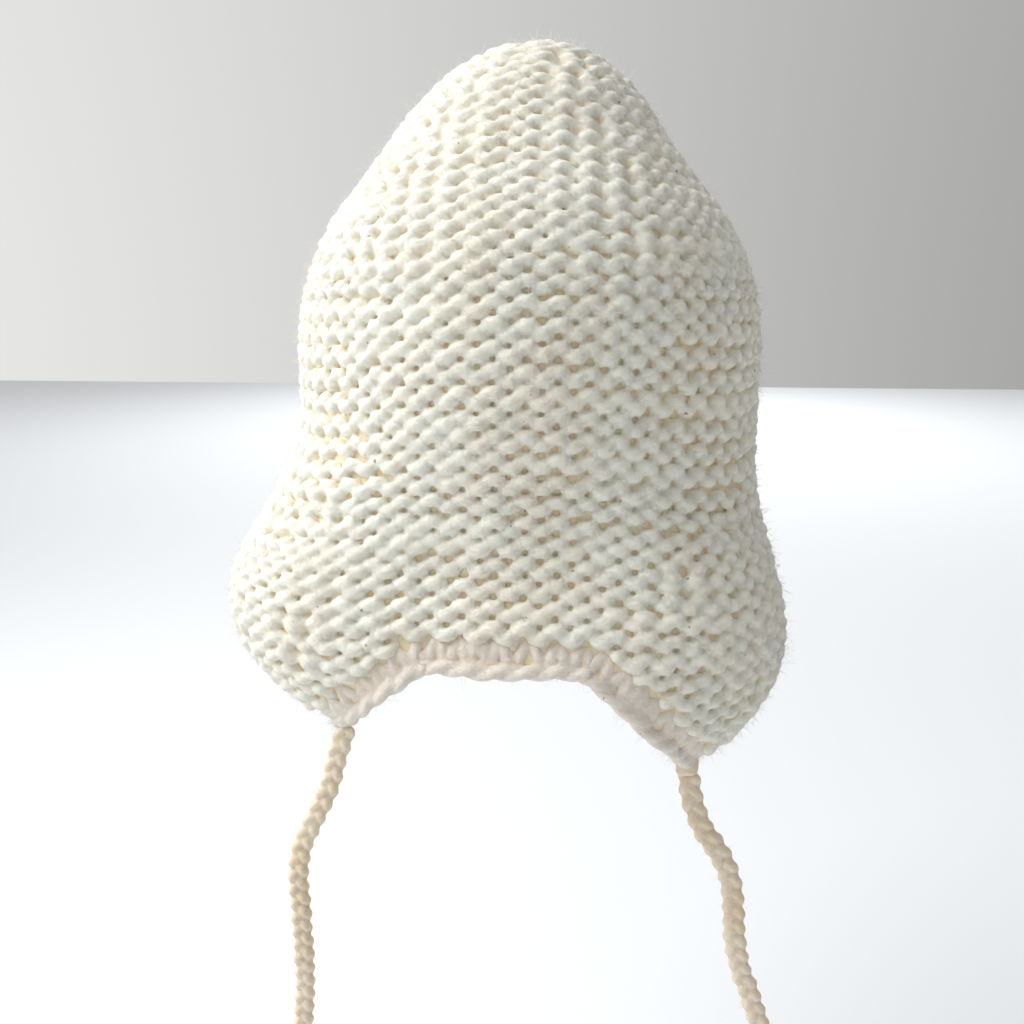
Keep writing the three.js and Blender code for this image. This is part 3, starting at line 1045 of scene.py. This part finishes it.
def build_wool_effect():
    tree = bpy.data.node_groups.new("wool_fibres", "ShaderNodeTree")
    effect_sockets(tree)
    given, result = add_node(tree, "NodeGroupInput").outputs, add_node(tree, "NodeGroupOutput").inputs
    drawn = add_node(tree, "ShaderNodeVectorMath", operation="MULTIPLY")
    along = fill(tree, drawn, {0: given["Yarn"], 1: DRAWN_OUT}).outputs[0]
    streaks = noise(tree, along, 1.1, 4)
    fine = noise(tree, along, 3.6, 3)
    slow = noise(tree, given["Place"], 38, 2)
    colour = mix(tree, ramp(tree, slow, 0.4, 0.62), given["Fleece"], given["Warm Fleece"])
    colour = mix(tree, ramp(tree, streaks, 0.42, 0.75, 0.0, 0.35), colour, PALE_STREAK)
    # Painted shade: where the yarn lies low in the fabric, its colour turns to the warm tan that stands for
    # the shade and bounced light in the hollows.
    hollow_shade_mask = ramp(tree, given["Lift"], 2.4, -1.0)
    not_inside = ramp(tree, given["Lift"], -3.2, -1.6)
    colour = mix(tree, calculate(tree, "MULTIPLY", hollow_shade_mask, not_inside), colour, given["Hollow Shade"])
    specks = noise(tree, given["Place"], 520, 0)
    colour = mix(tree, ramp(tree, specks, 0.86, 0.89, 0.0, 0.7), colour, SPECK)
    tree.links.new(colour, result["Color"])
    felted = noise(tree, given["Place"], 420, 3)
    height = calculate(tree, "ADD", calculate(tree, "MULTIPLY_ADD", fine, 0.5, streaks), felted)
    tree.links.new(height, result["Height"])
    print(f"{tree.name}: {len(tree.nodes)} nodes")
    return tree


wool_effect = build_wool_effect()

# %% Wool materials
RELIEF = 0.55
RELIEF_DEPTH = 0.7 * MM
WOOL = {
    "Roughness": 0.92, "Specular IOR Level": 0.2,
    "Sheen Weight": 0.35, "Sheen Roughness": 0.6, "Sheen Tint": (1, 0.97, 0.92, 1),
    "Subsurface Weight": 0.35, "Subsurface Radius": (1, 0.9, 0.75), "Subsurface Scale": 1.6 * MM,
}


def new_material(name, settings):
    """A material, its node tree and its shader, with plain values set on the shader itself."""
    material = bpy.data.materials.new(name)
    material.use_nodes = True
    shader = material.node_tree.nodes["Principled BSDF"]
    for key, value in settings.items():
        shader.inputs[key].default_value = value
    return material, material.node_tree, shader


def make_wool(name, fleece, warm, hollow_shade):
    material, tree, shader = new_material(name, WOOL)
    effect = add_node(tree, "ShaderNodeGroup", node_tree=wool_effect)
    for attribute, socket in (("yarn", "Vector"), ("lift", "Fac")):
        reader = add_node(tree, "ShaderNodeAttribute", attribute_name=attribute)
        tree.links.new(reader.outputs[socket], effect.inputs[attribute.capitalize()])
    place = add_node(tree, "ShaderNodeTexCoord")
    tree.links.new(place.outputs["Object"], effect.inputs["Place"])
    for socket, colour in (("Fleece", fleece), ("Warm Fleece", warm), ("Hollow Shade", hollow_shade)):
        effect.inputs[socket].default_value = (*colour, 1)
    tree.links.new(effect.outputs["Color"], shader.inputs["Base Color"])
    bump = add_node(tree, "ShaderNodeBump")
    bump.inputs["Strength"].default_value = RELIEF
    bump.inputs["Distance"].default_value = RELIEF_DEPTH
    tree.links.new(effect.outputs["Height"], bump.inputs["Height"])
    tree.links.new(bump.outputs["Normal"], shader.inputs["Normal"])
    return material


# The last colour of each wool is the painted shade of its hollows.
wool_knit = make_wool("wool_knit", (0.89, 0.882, 0.785), (0.88, 0.85, 0.73), (0.97, 0.82, 0.57))
# The edging's cream is darker and pinker than the knit's: painted shade, like that of the band under the
# overhanging last course.
wool_edging = make_wool("wool_edging", (0.84, 0.79, 0.71), (0.80, 0.73, 0.64), (0.90, 0.75, 0.60))
wool_tie = make_wool("wool_tie", (0.85, 0.73, 0.56), (0.81, 0.67, 0.47), (0.88, 0.69, 0.46))
print("wool:", wool_knit.name, wool_edging.name, wool_tie.name)

# %% Loose fibre material
FIBRE_PALE = (0.88, 0.86, 0.80, 1)
FIBRE_WARM = (0.82, 0.76, 0.65, 1)


def make_fibre_material():
    material, tree, shader = new_material("wool_fuzz", {"Roughness": 0.8, "Specular IOR Level": 0.2})
    place = add_node(tree, "ShaderNodeTexCoord")
    shade = noise(tree, place.outputs["Object"], 60, 2)
    tree.links.new(mix(tree, shade, FIBRE_PALE, FIBRE_WARM), shader.inputs["Base Color"])
    print(f"{material.name}: {len(tree.nodes)} nodes")
    return material


wool_fuzz = make_fibre_material()

# %% [markdown]
# ## Which piece moves with what
# The crown, the band and the straight edging stay with the hat. The lower fabric runs on into a
# flap. The flap pieces, with their sheets, edgings and fuzz, keep the place they were built in,
# with their transform applied, and are attached to no body.


def dress(piece, material, node, body=None, flap=None):
    piece.data.materials.append(material)
    if node:
        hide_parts(node)
    if flap:
        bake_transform(piece)
    elif body:
        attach(piece, body)

# %% Dress every piece
for (zone, side), piece in fabric.items():
    if zone == "flap":
        dress(piece, wool_knit, f"earflap_{side}", flap=side)
    else:
        dress(piece, wool_knit, "knit_body", body="hat")
dress(gather, wool_knit, "crown_gather", body="hat")
dress(webs["hat"], wool_knit, None, body="hat")
dress(edging["front"], wool_edging, "edging_front", body="hat")
dress(edging["back"], wool_edging, "edging_back", body="hat")
for (zone, side), piece in fuzz.items():
    dress(piece, wool_fuzz, None, body="hat", flap=side if zone == "flap" else None)
for side in FLAPS:
    dress(webs[side], wool_knit, None, flap=side)
    dress(edging[f"flap_{side}"], wool_edging, f"edging_flap_{side}", flap=side)
    dress(edge_fuzz[f"flap_{side}"], wool_fuzz, None, flap=side)
    dress(tie_fuzz[side], wool_fuzz, None, body=f"tie_{side}")
    for piece in (ties[side][0], knots[side], tassels[side], wraps[side]):
        piece.data.materials.append(wool_tie)
for key in ("front", "back"):
    dress(edge_fuzz[key], wool_fuzz, None, body="hat")
dressed = [obj.name for obj in scene.objects if obj.type == "MESH" and obj.data.materials]
print(f"{len(dressed)} meshes have a material")

# %% [markdown]
# ## Floor and light
# A plain pale floor, and broad soft light from above and the left, as from a window. The pale room
# around it is lighter on that side and fills the shadows, so that cream wool stays light in its
# hollows. A lamp behind lights the far part of the floor.

# %% Floor
FLOOR_HALF = 6
FLOOR_BELOW = 0.012
FLOOR_PAINT = {"Base Color": (0.86, 0.88, 0.91, 1), "Roughness": 0.9, "Specular IOR Level": 0.1}


def make_floor():
    shape = bmesh.new()
    bmesh.ops.create_grid(shape, x_segments=1, y_segments=1, size=FLOOR_HALF)
    mesh = bpy.data.meshes.new("floor")
    shape.to_mesh(mesh)
    shape.free()
    floor = link(bpy.data.objects.new("floor", mesh))
    floor.location.z = cad_box[0][2] - FLOOR_BELOW
    mesh.materials.append(new_material("pale_floor", FLOOR_PAINT)[0])
    print(f"floor at {floor.location.z:.3f} m")


make_floor()

# %% Lamps and room
BRIGHT_SIDE, DIM_SIDE = 0.92, 0.20


def soft_panel(name, place, size, power, aim, spread=180):
    light = bpy.data.lights.new(name, "AREA")
    light.size = size
    light.energy = power
    light.spread = math.radians(spread)
    lamp = link(bpy.data.objects.new(name, light))
    lamp.location = place
    lamp.rotation_euler = (Vector(aim) - lamp.location).to_track_quat("-Z", "Y").to_euler()
    print(f"{name}: {power} W, {size} m wide")


def pale_room(to_the_left, to_the_right):
    """A surrounding that is lighter on the side of the window."""
    world = bpy.data.worlds.new("studio")
    world.use_nodes = True
    tree = world.node_tree
    background = tree.nodes["Background"]
    direction, split = add_node(tree, "ShaderNodeTexCoord"), add_node(tree, "ShaderNodeSeparateXYZ")
    level = add_node(tree, "ShaderNodeMapRange")
    for key, number in (("From Min", -1), ("From Max", 1), ("To Min", to_the_left), ("To Max", to_the_right)):
        level.inputs[key].default_value = number
    tree.links.new(direction.outputs["Generated"], split.inputs[0])
    tree.links.new(split.outputs["X"], level.inputs["Value"])
    tree.links.new(level.outputs["Result"], background.inputs["Strength"])
    background.inputs["Color"].default_value = (1, 1, 0.99, 1)
    return world


scene.world = pale_room(BRIGHT_SIDE, DIM_SIDE)
soft_panel("window", (-0.85, -0.20, 0.85), 0.8, 14.6, aim=(0, 0, 0.08))
soft_panel("far_table", (0, 3.8, 2.2), 3.6, 70, aim=(0, 3.6, -0.41), spread=150)
scene.view_settings.view_transform = "Standard"

# %% Sizes
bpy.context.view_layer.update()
triangles = sum(sum(len(p.vertices) - 2 for p in o.data.polygons)
                for o in bpy.data.objects if o.type == "MESH" and not o.hide_render)
print(f"{triangles} triangles in the whole scene")
